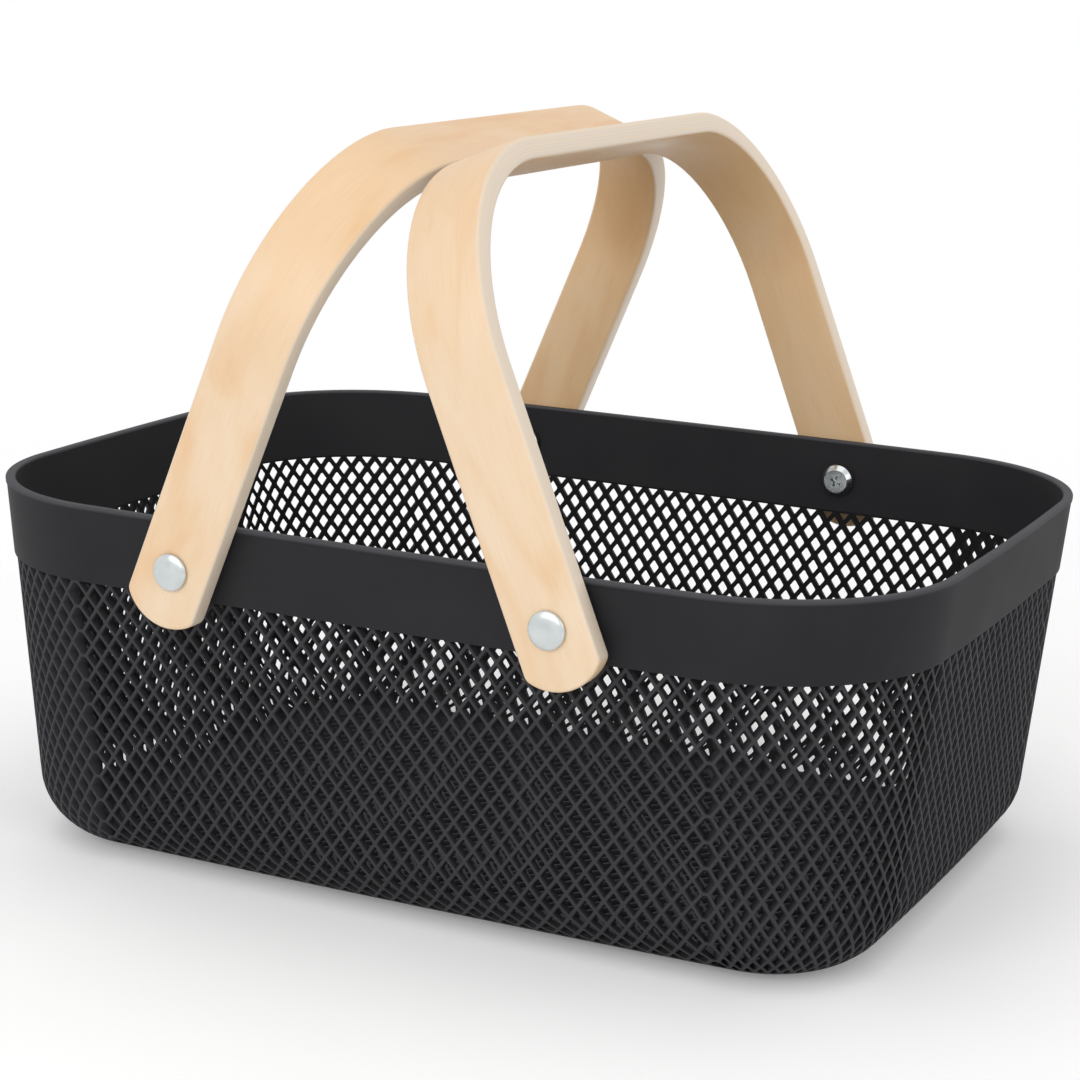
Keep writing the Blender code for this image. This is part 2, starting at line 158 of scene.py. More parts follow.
SCREW_SEAT = SEAT_FACE - GAP / 2
BARREL_END = SEAT_FACE + GAP
STRAP_TOP = STRAP_RISE + STRAP_THICKNESS
HANDLE_LEAN = math.asin(
    (PIVOT_X - HANDLE_REST_GAP / 2) / math.hypot(STRAP_TOP, STRAP_WIDTH / 2)
) - math.atan2(STRAP_WIDTH / 2, STRAP_TOP)


# Patterns, as cells to the metre. Plastic: moulded grain of 0.3 mm, rubbed patches of 36 mm
SKIN_GRAIN, RUBBED_PATCHES = 1000 / 0.30, 28.0
# Wood, along a strap, across it and into it. Fibres 17 mm long are drawn 0.4 mm wide, coarser
# than real ones, so that they show at this distance. The figure's clouds are 71 by 24 mm
FIBRES, FIGURE = (60.0, 2400.0, 1500.0), (14.0, 42.0, 30.0)
# The two straps are cut from different sheets, which lie this many cells apart to the metre
SHEET_STEP = 20.0
STREAK_WEIGHT = 0.18
# Where the wood's face turns into its edge, as shares of the eased edge
EDGE_START, EDGE_FULL = 0.7, 0.2
# Metal: clouds of 6 mm in the plating and unevenness of 2.4 mm. Nylon: flow marks of 3.3 mm
PLATING_CLOUDS, PLATING_WAVES, FLOW_MARKS = 160.0, 420.0, 300.0

# The studio floor: how far it is solid, where it ends, how far under the object it lies, and its
# paint's roller marks of 17 cm
FLOOR_SOLID, FLOOR_RADIUS, FLOOR_SEGMENTS = 0.35, 0.95, 96
FLOOR_DROP = GAP / 3
ROLLER_MARKS = 6.0
# The world's strength as light on the object, and how much brighter the floor is where it is seen
WORLD_FILL, FLOOR_LIFT = 0.74, 0.16
# Each lamp's place, its width and height, and its watts, and what they all point at
LAMPS = {
    "overhead_softbox": ((0.0, -0.1, 1.7), 1.4, 1.2, 2.5),
    "front_softbox": ((-0.2, -2.0, 1.0), 1.8, 1.2, 12.0),
    "right_softbox": ((1.9, -0.6, 0.9), 1.0, 1.0, 3.5),
}
LAMP_AIM = (0.0, 0.0, 0.1)


# Materials

def colour(code):
    """An sRGB hex colour as linear values."""
    parts = [int(code[i:i + 2], 16) / 255 for i in (1, 3, 5)]
    linear = [c / 12.92 if c <= 0.04045 else ((c + 0.055) / 1.055) ** 2.4 for c in parts]
    return (*linear, 1.0)


def add_node(tree, kind, settings=(), links=()):
    """One node. Settings name its own properties, or its sockets by name or number."""
    node = tree.nodes.new(kind)
    for key, value in dict(settings).items():
        if isinstance(key, str) and hasattr(node, key):
            setattr(node, key, value)
        else:
            node.inputs[key].default_value = value
    for key, source in dict(links).items():
        tree.links.new(source, node.inputs[key])
    return node


def new_material(name):
    """A material, its Principled shader, a function to add a node and one to feed the shader."""
    material = bpy.data.materials.new(name)
    material.use_nodes = True
    tree = material.node_tree
    shader = tree.nodes["Principled BSDF"]
    add = functools.partial(add_node, tree)

    def feed(**sources):
        for key, source in sources.items():
            tree.links.new(source, shader.inputs[key.replace("_", " ").title()])

    return material, shader, add, feed


def ramp(node, stops):
    """Set a Color Ramp's stops, each a place and a hex colour, and give its colour output."""
    marks = node.color_ramp.elements
    while len(marks) < len(stops):
        marks.new(0.5)
    for mark, (place, code) in zip(marks, stops):
        mark.position = place
        mark.color = colour(code)
    return node.outputs["Color"]


def polypropylene(name, dark, pale, painted_highlight_colour):
    """Polypropylene, injection moulded against a spark-eroded mould face. The eye gets a
    charcoal-black matt skin with a fine even grain, whose fine texture breaks up most of the
    mirror part, a little paler and duller in patches where hands and shelves have rubbed it.
    The rim's edge and the ribs' crests, marked in each mesh, get the palest colour as a painted highlight."""
    material, shader, add, feed = new_material(name)
    place = add("ShaderNodeTexCoord").outputs["Object"]
    grain = add("ShaderNodeTexNoise", {"Scale": SKIN_GRAIN, "Detail": 2.0}, {"Vector": place}).outputs[0]
    rub = add("ShaderNodeTexNoise", {"Scale": RUBBED_PATCHES, "Detail": 3.0}, {"Vector": place}).outputs[0]
    skin_tint = ramp(add("ShaderNodeValToRGB", {}, {0: rub}), [(0.30, dark), (0.70, pale)])
    # The mark read here mixes in the palest colour: a painted highlight on the rim's edge and the ribs'
    # crests
    crest = add("ShaderNodeAttribute", {"attribute_name": "crest"}).outputs["Fac"]
    tint = add("ShaderNodeMix", {"data_type": "RGBA", 7: colour(painted_highlight_colour)}, {0: crest, 6: skin_tint}).outputs[2]
    rough = add("ShaderNodeMapRange", {"From Min": 0.3, "From Max": 0.7, "To Min": 0.60, "To Max": 0.69},
                {"Value": rub}).outputs[0]
    bump = add("ShaderNodeBump", {"Strength": 0.10, "Distance": 0.00006}, {"Height": grain}).outputs[0]
    shader.inputs["IOR"].default_value = 1.49
    shader.inputs["Specular IOR Level"].default_value = 0.11
    feed(base_color=tint, roughness=rough, normal=bump)
    return material


def birch_plywood():
    """Rotary-cut birch veneers, glued, pressed round a former, sanded and lacquered clear. The
    eye gets a pale warm face with faint clouds and fine lengthwise fibres, a deeper tone on the
    inner face, which is painted shade where it turns from the lamps, a deeper tone towards the bar,
    marked in each mesh, which is partly the wood's own and partly a painted warm glow of light
    bounced in the bend, and greyer edges, where faint stripes tell one veneer from the next."""
    material, shader, add, feed = new_material("bent_birch_plywood_lacquered")
    strap = add("ShaderNodeAttribute", {"attribute_name": "strap_place"}).outputs["Vector"]
    parts = add("ShaderNodeSeparateXYZ", {}, {0: strap}).outputs
    fibre_place = add("ShaderNodeMapping", {"Scale": FIBRES}, {"Vector": strap}).outputs[0]
    fibre = add("ShaderNodeTexNoise", {"Scale": 1.0, "Detail": 4.0, "Roughness": 0.65},
                {"Vector": fibre_place}).outputs[0]
    figure_place = add("ShaderNodeMapping", {"Scale": FIGURE}, {"Vector": strap}).outputs[0]
    own_place = add("ShaderNodeTexCoord").outputs["Object"]
    sheet = add("ShaderNodeSeparateXYZ", {}, {0: own_place}).outputs["X"]
    sheet = add("ShaderNodeMath", {"operation": "MULTIPLY", 1: SHEET_STEP}, {0: sheet}).outputs[0]
    figure = add("ShaderNodeTexNoise",
                 {"noise_dimensions": "4D", "Scale": 1.0, "Detail": 3.0, "Distortion": 0.8},
                 {"Vector": figure_place, "W": sheet}).outputs[0]
    outer = ramp(add("ShaderNodeValToRGB", {}, {0: figure}),
                 [(0.30, "#EAC397"), (0.50, "#EFD4B3"), (0.70, "#F2DBC0")])
    # The inner face's deeper ramp is painted shade: that face turns away from the lamps
    inner = ramp(add("ShaderNodeValToRGB", {}, {0: figure}),
                 [(0.30, "#E6BC8B"), (0.50, "#EDC99C"), (0.70, "#EFD0A9")])
    outward = add("ShaderNodeMapRange", {"From Min": 0.0, "From Max": STRAP_THICKNESS}, {"Value": parts["Z"]})
    face = add("ShaderNodeMix", {"data_type": "RGBA"}, {0: outward.outputs[0], 6: inner, 7: outer}).outputs[2]
    # The mark read here deepens the face towards the bar: partly the wood's own tone, partly a painted warm
    # glow of light bounced in the bend
    tone = add("ShaderNodeAttribute", {"attribute_name": "veneer_tone"}).outputs["Fac"]
    face = add("ShaderNodeMix", {"data_type": "RGBA", "blend_type": "MULTIPLY", 7: colour("#FBECD6")},
               {0: tone, 6: face}).outputs[2]
    streak = ramp(add("ShaderNodeValToRGB", {}, {0: fibre}), [(0.34, "#E6CFB0"), (0.52, "#FFFFFF")])
    grained = add("ShaderNodeMix", {"data_type": "RGBA", "blend_type": "MULTIPLY", 0: STREAK_WEIGHT},
                  {6: face, 7: streak}).outputs[2]
    # The edges: how near a place is to one, and which veneer it cuts
    aside = add("ShaderNodeMath", {"operation": "ABSOLUTE"}, {0: parts["Y"]}).outputs[0]
    on_edge = add("ShaderNodeMapRange", {"From Min": STRAP_WIDTH / 2 - STRAP_EDGE * EDGE_START,
                                         "From Max": STRAP_WIDTH / 2 - STRAP_EDGE * EDGE_FULL},
                  {"Value": aside})
    veneer = add("ShaderNodeMath", {"operation": "MULTIPLY", 1: VENEERS / (2 * STRAP_THICKNESS)},
                 {0: parts["Z"]}).outputs[0]
    turn = add("ShaderNodeMath", {"operation": "PINGPONG", 1: 0.5}, {0: veneer}).outputs[0]
    stripes = ramp(add("ShaderNodeValToRGB", {}, {0: turn}),
                   [(0.20, "#EEDCC5"), (0.25, "#E5D0B5"), (0.30, "#EBDBC8")])
    tint = add("ShaderNodeMix", {"data_type": "RGBA"},
               {0: on_edge.outputs[0], 6: grained, 7: stripes}).outputs[2]
    rough = add("ShaderNodeMapRange", {"From Min": 0.3, "From Max": 0.7, "To Min": 0.50, "To Max": 0.40},
                {"Value": fibre}).outputs[0]
    bump = add("ShaderNodeBump", {"Strength": 0.08, "Distance": 0.0001}, {"Height": fibre}).outputs[0]
    shader.inputs["Coat Weight"].default_value = 0.15
    shader.inputs["Coat Roughness"].default_value = 0.30
    feed(base_color=tint, roughness=rough, normal=bump)
    return material


def zinc_plated_steel():
    """Steel, cold headed and plated with bright zinc. The eye gets a cool soft mirror, a little
    cloudy and not quite flat."""
    material, shader, add, feed = new_material("zinc_plated_steel_bright")
    place = add("ShaderNodeTexCoord").outputs["Object"]
    cloud = add("ShaderNodeTexNoise", {"Scale": PLATING_CLOUDS, "Detail": 3.0}, {"Vector": place}).outputs[0]
    fine = add("ShaderNodeTexNoise", {"Scale": PLATING_WAVES, "Detail": 1.0}, {"Vector": place}).outputs[0]
    tint = ramp(add("ShaderNodeValToRGB", {}, {0: cloud}), [(0.35, "#C6CCCD"), (0.65, "#D2D6D6")])
    rough = add("ShaderNodeMapRange", {"From Min": 0.3, "From Max": 0.7, "To Min": 0.19, "To Max": 0.25},
                {"Value": cloud}).outputs[0]
    bump = add("ShaderNodeBump", {"Strength": 0.01, "Distance": 0.00002}, {"Height": fine}).outputs[0]
    shader.inputs["Metallic"].default_value = 1.0
    feed(base_color=tint, roughness=rough, normal=bump)
    return material


def nylon():
    """Nylon, injection moulded and left glossy. The eye gets a black ring with tight highlights."""
    material, shader, add, feed = new_material("moulded_nylon_gloss")
    place = add("ShaderNodeTexCoord").outputs["Object"]
    flow = add("ShaderNodeTexNoise", {"Scale": FLOW_MARKS, "Detail": 2.0}, {"Vector": place}).outputs[0]
    tint = ramp(add("ShaderNodeValToRGB", {}, {0: flow}), [(0.35, "#161617"), (0.65, "#1E1E20")])
    rough = add("ShaderNodeMapRange", {"To Min": 0.20, "To Max": 0.32}, {"Value": flow}).outputs[0]
    shader.inputs["IOR"].default_value = 1.53
    feed(base_color=tint, roughness=rough)
    return material


def seen_directly(tree):
    """1 where the camera, a mirror ray or a ray through glass looks, and 0 for light on the object."""
    rays = add_node(tree, "ShaderNodeLightPath").outputs
    seen = rays["Is Camera Ray"]
    for ray in ("Is Glossy Ray", "Is Transmission Ray"):
        either = add_node(tree, "ShaderNodeMath", {"operation": "MAXIMUM"}, {0: seen, 1: rays[ray]})
        seen = either.outputs[0]
    return seen


def floor_paint():
    """The studio floor's matt white paint, so even that only the object's shadow shows. Where it
    is looked at it is a little brighter than the lamps make it. Far from the object it thins
    out into the white backdrop, so that no horizon shows."""
    material, shader, add, feed = new_material("studio_floor_matt_paint")
    place = add("ShaderNodeTexCoord").outputs["Object"]
    roller = add("ShaderNodeTexNoise", {"Scale": ROLLER_MARKS, "Detail": 2.0}, {"Vector": place}).outputs[0]
    tint = ramp(add("ShaderNodeValToRGB", {}, {0: roller}), [(0.3, "#F8F8F8"), (0.7, "#FAFAFA")])
    far = add("ShaderNodeVectorMath", {"operation": "LENGTH"}, {0: place}).outputs["Value"]
    solid = add("ShaderNodeMapRange", {"interpolation_type": "SMOOTHSTEP", "From Min": FLOOR_SOLID,
                                       "From Max": FLOOR_RADIUS, "To Min": 1.0, "To Max": 0.0},
                {"Value": far}).outputs[0]
    lift = add("ShaderNodeMapRange", {"To Min": 0.0, "To Max": FLOOR_LIFT},
               {"Value": seen_directly(material.node_tree)}).outputs[0]
    shader.inputs["Roughness"].default_value = 0.9
    shader.inputs["Emission Color"].default_value = (1.0, 1.0, 1.0, 1.0)
    feed(base_color=tint, alpha=solid, emission_strength=lift)
    return material


# The last colour of each plastic is its painted highlight: on the band's rim, and on the lattice's rib crests
BAND_PLASTIC = polypropylene("moulded_polypropylene_band", "#28282B", "#2E2E30", "#4A4A4E")
# The lattice's base, darker than the band's, is painted shade inside its holes
LATTICE_PLASTIC = polypropylene("moulded_polypropylene_lattice", "#18181A", "#1D1D1F", "#3C3C3F")
PLYWOOD = birch_plywood()
ZINC = zinc_plated_steel()
NYLON = nylon()
FLOOR_PAINT = floor_paint()


# Mesh helpers

def new_object(name, data):
    item = bpy.data.objects.new(name, data)
    bpy.context.scene.collection.objects.link(item)
    return item


def make_piece(name, mesh, material, body, nodes, sharp=32.0):
    """Finish a piece: its material, its body and the nodes that it stands for."""
    piece = new_object(name, mesh)
    mesh.materials.clear()
    mesh.materials.append(material)
    mesh.shade_smooth()
    mesh.set_sharp_from_angle(angle=math.radians(sharp))
    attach(piece, body)
    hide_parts(*nodes)
    return piece


def mark_painted_highlights(mesh, values):
    """Say, from 0 to 1, how much of the painted highlight each point of a plastic mesh gets."""
    marks = mesh.attributes.new("crest", "FLOAT", "POINT")
    marks.data.foreach_set("value", np.asarray(values, dtype=np.float32))


def mesh_of(shape, name):
    bmesh.ops.recalc_face_normals(shape, faces=shape.faces)
    mesh = bpy.data.meshes.new(name)
    shape.to_mesh(mesh)
    shape.free()
    return mesh


def skin(rings, name, closed=False, weld=0.0):
    """Join rings that have the same number of points; closed joins the last to the first."""
    shape = bmesh.new()
    loops = [[shape.verts.new(point) for point in ring] for ring in rings]
    pairs = list(zip(loops, loops[1:])) + ([(loops[-1], loops[0])] if closed else [])
    count = len(loops[0])
    for lower, upper in pairs:
        for i in range(count):
            j = (i + 1) % count
            shape.faces.new((lower[i], lower[j], upper[j], upper[i]))
    if weld:
        bmesh.ops.remove_doubles(shape, verts=shape.verts, dist=weld)
    return mesh_of(shape, name)


def turned(name, profile, x_side, y_side, steps=72):
    """Turn (radius, distance from the middle plane) points about a pivot's own axis."""
    shape = bmesh.new()
    points = [shape.verts.new((radius, distance * y_side, 0.0)) for radius, distance in profile]
    edges = [shape.edges.new(pair) for pair in zip(points, points[1:])]
    if profile[0][0] > 0.0:
        edges.append(shape.edges.new((points[-1], points[0])))
    bmesh.ops.spin(shape, geom=points + edges, cent=(0, 0, 0), axis=(0, 1, 0),
                   angle=math.tau, steps=steps, use_merge=True, use_duplicate=False)
    bmesh.ops.remove_doubles(shape, verts=shape.verts, dist=TURNED_WELD)
    bmesh.ops.translate(shape, verts=shape.verts, vec=(x_side * PIVOT_X, 0.0, PIVOT_Z))
    return mesh_of(shape, name)


def carved(name, mesh, tools):
    """The mesh with solids joined to it or cut from it, each given as (operation, mesh), and
    with the slivers welded away that a cut leaves where edges cross at one point."""
    base = new_object(name, mesh)
    helpers = [base]
    for operation, tool_mesh in tools:
        tool = new_object(f"{name}_tool", tool_mesh)
        helpers.append(tool)
        cut = base.modifiers.new(operation, "BOOLEAN")
        cut.operation, cut.solver, cut.object = operation, "EXACT", tool
    graph = bpy.context.evaluated_depsgraph_get()
    result = bpy.data.meshes.new_from_object(base.evaluated_get(graph), depsgraph=graph)
    for item in helpers:
        bpy.data.objects.remove(item, do_unlink=True)
    shape = bmesh.new()
    shape.from_mesh(result)
    bmesh.ops.remove_doubles(shape, verts=shape.verts, dist=WELD)
    bmesh.ops.dissolve_degenerate(shape, edges=shape.edges, dist=WELD)
    shape.to_mesh(result)
    shape.free()
    result.name = name
    return result


def pivot_sites():
    for y_name, y_side in (("front", -1), ("back", 1)):
        for x_name, x_side in (("left", -1), ("right", 1)):
            yield f"{y_name}_{x_name}", x_side, y_side


# The tub's band and rim

def tub_outline(height, inward, corner_steps=28, side_steps=10):
    """One outline of the tub, from the middle of the right end round to it again."""
    along, across = straights(height)
    length, width = half_length(height) - inward, half_width(height) - inward
    radius = corner_radius(height) - inward
    quarter = [(length - END_WALL_BOW * (i / side_steps) ** 2, across * i / side_steps)
               for i in range(side_steps)]
    for i in range(corner_steps + 1):
        turn = math.pi / 2 * i / corner_steps
        quarter.append((along + radius * math.cos(turn), across + radius * math.sin(turn)))
    quarter += [(along * i / side_steps, width - SIDE_WALL_BOW * (i / side_steps) ** 2)
                for i in range(side_steps - 1, 0, -1)]
    points = quarter + [(0.0, width)] + [(-x, y) for x, y in reversed(quarter)]
    points += [(-x, -y) for x, y in quarter[1:]] + [(0.0, -width)]
    points += [(x, -y) for x, y in reversed(quarter[1:])]
    return [(x, y, height) for x, y in points]


def band_profile():
    """(height, inward) up the outside, over the rim and down the inside of the band."""
    bead_foot = TUB_HEIGHT - BEAD_HEIGHT
    eased = RIM_EDGE / 2
    stations = [(BAND_FOOT, BAND_STEP), (BAND_FOOT, eased), (BAND_FOOT + eased * 0.3, eased * 0.3),
                (BAND_FOOT + eased, 0.0), (bead_foot - eased, 0.0), (bead_foot, -BEAD_PROUD * 0.3),
                (bead_foot + eased * 0.6, -BEAD_PROUD * 0.85), (bead_foot + eased * 1.4, -BEAD_PROUD)]
    turns = [math.pi / 2 * i / RIM_STEPS for i in range(RIM_STEPS + 1)]
    stations += [(TUB_HEIGHT - RIM_EDGE * (1 - math.sin(turn)),
                  RIM_EDGE * (1 - math.cos(turn)) - BEAD_PROUD) for turn in turns]
    stations += [(TUB_HEIGHT - RIM_EDGE * (1 - math.cos(turn)),
                  BAND_WALL - RIM_EDGE * (1 - math.sin(turn))) for turn in turns]
    # The ring under the rim keeps the painted highlight on the edge from spreading down the inside
    stations.append((TUB_HEIGHT - PAINTED_HIGHLIGHT_END, BAND_WALL))
    return stations + [(BAND_FOOT + eased, BAND_WALL), (BAND_FOOT, BAND_WALL - eased)]


def build_band():
    body = skin([tub_outline(height, inward) for height, inward in band_profile()], "tub_band", closed=True)
    middle = side_reach(PIVOT_X, PIVOT_Z, BAND_WALL / 2)
    pad = [(0.0, SEAT_FACE), (SEAT_DIAMETER / 2, SEAT_FACE), (SEAT_DIAMETER / 2, middle),
           (PAD_DIAMETER / 2, middle), (PAD_DIAMETER / 2, PAD_FACE), (0.0, PAD_FACE)]
    near, far = SEAT_FACE - BAND_WALL, PAD_FACE + BAND_WALL
    hole = [(0.0, near), (HOLE_DIAMETER / 2, near), (HOLE_DIAMETER / 2, far), (0.0, far)]
    # The hole has other steps than the pad, whose spokes would else meet its corners
    tools = [(operation, turned("band_tool", profile, x_side, y_side, steps=steps))
             for operation, profile, steps in (("UNION", pad, 72), ("DIFFERENCE", hole, 61))
             for _, x_side, y_side in pivot_sites()]
    mesh = carved("tub_band", body, tools)
    heights = np.array([point.co.z for point in mesh.vertices])
    # The rim's top gets the painted highlight
    mark_painted_highlights(mesh, heights > TUB_HEIGHT - PAINTED_HIGHLIGHT_DEPTH)
    return make_piece("tub_band", mesh, BAND_PLASTIC, "tub", ["basket_body"])


# The tub's lattice. A place on it is a column, counted round the tub from the middle of the
# front, and a row, counted up the wall

def round_the_loop(quarter):
    """A quarter's marks, carried on by symmetry round the whole tub and a little past it."""
    middle = quarter[-1]
    half = np.concatenate([quarter, 2 * middle - quarter[-2::-1]])
    whole = np.concatenate([half, 2 * middle + half[1:]])
    return np.concatenate([-quarter[1:2], whole, 4 * middle + quarter[1:2]])


QUARTER_COLUMNS = np.cumsum([0, FRONT_COLUMNS, 1, CORNER_COLUMNS, 1, END_COLUMNS])
LOOP_COLUMNS = round_the_loop(QUARTER_COLUMNS)
HALF_ROUND = 2 * QUARTER_COLUMNS[-1]


def quarter_lengths(level, strip=SEAM_STRIP):
    """Distances along the outside, at a level, of a quarter's seams and of its two middles."""
    along, across = straights(level)
    middle = along + (corner_radius(level) - BAND_STEP) * math.pi / 2 + across
    front_seam = FRONT_SEAM + FRONT_SEAM_LEAN * (level - SEAM_LEVEL)
    end_seam = END_SEAM + END_SEAM_LEAN * (level - SEAM_LEVEL)
    slack = SEAM_STRIP - strip
    return np.stack([0 * level, front_seam, front_seam + strip, end_seam - slack,
                     end_seam - slack + strip, middle - 2 * slack])


def remap(value, marks, onto):
    """Carry values from one row of marks to another, in straight runs between the marks."""
    result = np.zeros_like(value)
    for low, high, to_low, to_high in zip(marks, marks[1:], onto, onto[1:]):
        share = (value - low) / (high - low)
        result = np.where((share >= 0) & (share <= 1), to_low + (to_high - to_low) * share, result)
    return result


def folded(column):
    """A column's own place in the first quarter, by the tub's symmetry."""
    column = np.mod(column, HALF_ROUND)
    return np.minimum(column, HALF_ROUND - column)


def outside_by(x, y, height, inward):
    """How far points lie outside the tub's outline at their height, less an inset."""
    x, y = np.abs(x), np.abs(y)
    along, across = straights(height)
    to_side = y - (half_width(height) - inward - SIDE_WALL_BOW * (x / along) ** 2)
    to_end = x - (half_length(height) - inward - END_WALL_BOW * (y / across) ** 2)
    to_corner = np.hypot(x - along, y - across) - (corner_radius(height) - inward)
    return np.where(x <= along, to_side, np.where(y <= across, to_end, to_corner))


def outside_at(run):
    """Height, inset and lean of the outside at a distance run up the wall and its round foot."""
    lean = np.clip((FLOOR_FILLET - run) / FLOOR_FILLET, 0.0, math.pi / 2)
    height = np.where(run < FLOOR_FILLET, FLOOR_FILLET * (1 - np.sin(lean)), run)
    return height, BAND_STEP + FLOOR_FILLET * (1 - np.cos(lean)), lean


def inner_inset(height):
    radius = FLOOR_FILLET - LATTICE_WALL
    rise = np.clip((FLOOR_FILLET - height) / radius, 0.0, 1.0)
    return BAND_STEP + LATTICE_WALL + radius * (1 - np.sqrt(1 - rise ** 2))


def outer_points(column, row, sunk=0.0):
    """Points on the lattice's outside, or sunk a little into it."""
    run = ROW_ZERO + ROW_PITCH * row
    height, inward, lean = outside_at(run)
    inward, height = inward + sunk * np.cos(lean), height + sunk * np.sin(lean)
    level = np.maximum(run, FLOOR_FILLET)
    lengths = quarter_lengths(level)
    length, middle = remap(column, LOOP_COLUMNS, round_the_loop(lengths)), lengths[-1]
    quarter = np.floor(length / middle)
    part = length - quarter * middle
    part = np.where(quarter % 2 == 1, middle - part, part)
    level_along, level_across = straights(level)
    along, across = straights(height)
    arc = middle - level_along - level_across
    turn = np.clip((part - level_along) / arc, 0.0, 1.0) * math.pi / 2
    radius = corner_radius(height) - inward
    x, y = along + radius * np.sin(turn), across + radius * np.cos(turn)
    side_x, end_y = part * along / level_along, (middle - part) * across / level_across
    on_side, on_end = part < level_along, part > level_along + arc
    x = np.where(on_end, half_length(height) - inward - END_WALL_BOW * (end_y / across) ** 2, x)
    y = np.where(on_side, half_width(height) - inward - SIDE_WALL_BOW * (side_x / along) ** 2, y)
    x, y = np.where(on_side, side_x, x), np.where(on_end, end_y, y)
    x = np.where(quarter % 4 < 2, x, -x)
    y = np.where((quarter + 1) % 4 < 2, -y, y)
    return np.stack([x, y, height], -1)


def inner_points(column, row):
    """Points on the inside, reached through the wall the way the mould's slide there drew out:
    straight out of a flat wall, and along the diagonal at a corner."""
    x, y, height = np.moveaxis(outer_points(column, row), -1, 0)
    turn = np.interp(folded(column), QUARTER_COLUMNS[1:5], np.radians([0, 45, 45, 90]))
    step_x, step_y = -np.sign(x) * np.sin(turn), -np.sign(y) * np.cos(turn)
    inward = inner_inset(height)
    near, far = np.zeros_like(height), np.full_like(height, FLOOR_FILLET)
    for _ in range(HALVINGS):
        reach = (near + far) / 2
        outside = outside_by(x + step_x * reach, y + step_y * reach, height, inward) > 0
        near, far = np.where(outside, reach, near), np.where(outside, far, reach)
    return np.stack([x + step_x * near, y + step_y * near, height], -1)


def inset_corners(polygons, inset):
    """Convex polygons, counter-clockwise, with every side moved inwards."""
    side = np.roll(polygons, -1, 1) - polygons
    side /= np.linalg.norm(side, axis=-1, keepdims=True)
    normal = np.stack([-side[..., 1], side[..., 0]], -1)
    before = np.roll(normal, 1, 1)
    return polygons + inset * (before + normal) / (1 + (before * normal).sum(-1, keepdims=True))


def rounded_corners(polygons, reach):
    """Three points for each corner of a polygon, on a curve that starts a reach from it."""
    ends = []
    for way in (1, -1):
        side = np.roll(polygons, way, 1) - polygons
        long = np.linalg.norm(side, axis=-1, keepdims=True)
        ends.append(polygons + side * np.minimum(reach / long, LONGEST_EASE))
    middle = 0.25 * ends[0] + 0.5 * polygons + 0.25 * ends[1]
    return np.stack([ends[0], middle, ends[1]], 2).reshape(len(polygons), -1, 2)


def wall_hole(corners, inset, reach, strip):
    """The outline of each cell's hole: its sides moved in by true lengths, its corners rounded."""
    middle = corners.mean(1)[:, None]
    run = ROW_ZERO + ROW_PITCH * middle[..., 1]
    height, inward, _ = outside_at(run)
    level = np.maximum(run, FLOOR_FILLET)
    marks = round_the_loop(quarter_lengths(level, strip))
    # Round the foot of a corner the columns draw together
    squeeze = (corner_radius(height) - inward) / (corner_radius(level) - BAND_STEP)
    at_corner = np.abs(folded(middle[..., 0]) - QUARTER_COLUMNS[1:5].mean()) < CORNER_COLUMNS / 2 + 1
    squeeze = np.where(at_corner, squeeze, 1.0)
    lengths = remap(corners[..., 0], LOOP_COLUMNS, marks) * squeeze
    flat = np.stack([lengths, corners[..., 1] * ROW_PITCH], -1)
    ring = rounded_corners(inset_corners(flat, inset), reach)
    return np.stack([remap(ring[..., 0] / squeeze, marks, LOOP_COLUMNS), ring[..., 1] / ROW_PITCH], -1)


FLOOR_SCALE = np.array([FLOOR_COLUMN, ROW_PITCH])


def floor_hole(corners, inset, reach, _):
    return rounded_corners(inset_corners(corners * FLOOR_SCALE, inset), reach) / FLOOR_SCALE


def floor_top(column, row, sunk=0.0):
    return np.stack([column * FLOOR_COLUMN, row * ROW_PITCH, LATTICE_WALL - sunk + 0 * row], -1)


def floor_bottom(column, row):
    return np.stack([column * FLOOR_COLUMN, row * ROW_PITCH, 0 * row], -1)


DIAMOND = [(0.5, 0.0), (0.0, 0.5), (-0.5, 0.0), (0.0, -0.5)]
SEAM_CELL = [(1.5, 0.0), (1.0, 0.5), (0.0, 0.5), (-0.5, 0.0), (0.0, -0.5), (1.0, -0.5)]


def clipped(polygon, low, high):
    """A convex polygon cut to a band of rows, or nothing."""
    for limit, keep in ((low, 1), (high, -1)):
        kept = []
        for (x0, y0), (x1, y1) in zip(polygon, polygon[1:] + polygon[:1]):
            inside0, inside1 = (y0 - limit) * keep >= 0, (y1 - limit) * keep >= 0
            if inside0:
                kept.append((x0, y0))
            if inside0 != inside1:
                kept.append((x0 + (x1 - x0) * (limit - y0) / (y1 - y0), limit))
        polygon = kept
    return polygon


def wall_cells(start, stop):
    """Cells of the wall from one column to another, as (their polygon, their middles)."""
    seams = [QUARTER_COLUMNS[1], QUARTER_COLUMNS[3]]
    seams += [HALF_ROUND - seam - 1 for seam in seams]
    seams = [seam + k * HALF_ROUND for k in (-1, 0, 1) for seam in seams]
    near_seam = {seam + step for seam in seams for step in (0, 0.5, 1)}
    cells = []
    for row in np.arange(math.floor(2 * LATTICE_FOOT_ROW), math.ceil(2 * LATTICE_TOP_ROW) + 1) / 2:
        limits = LATTICE_FOOT_ROW - row, LATTICE_TOP_ROW - row
        columns = np.arange(math.ceil(start), math.ceil(stop)) + row % 1
        plain = [column for column in columns if column not in near_seam]
        cells.append((clipped(DIAMOND, *limits), plain, row))
        if row % 1 == 0:
            cells.append((clipped(SEAM_CELL, *limits), [seam for seam in seams if seam in columns], row))
    return [(polygon, [(column % (2 * HALF_ROUND), row) for column in columns])
            for polygon, columns, row in cells if len(polygon) > 2 and columns]


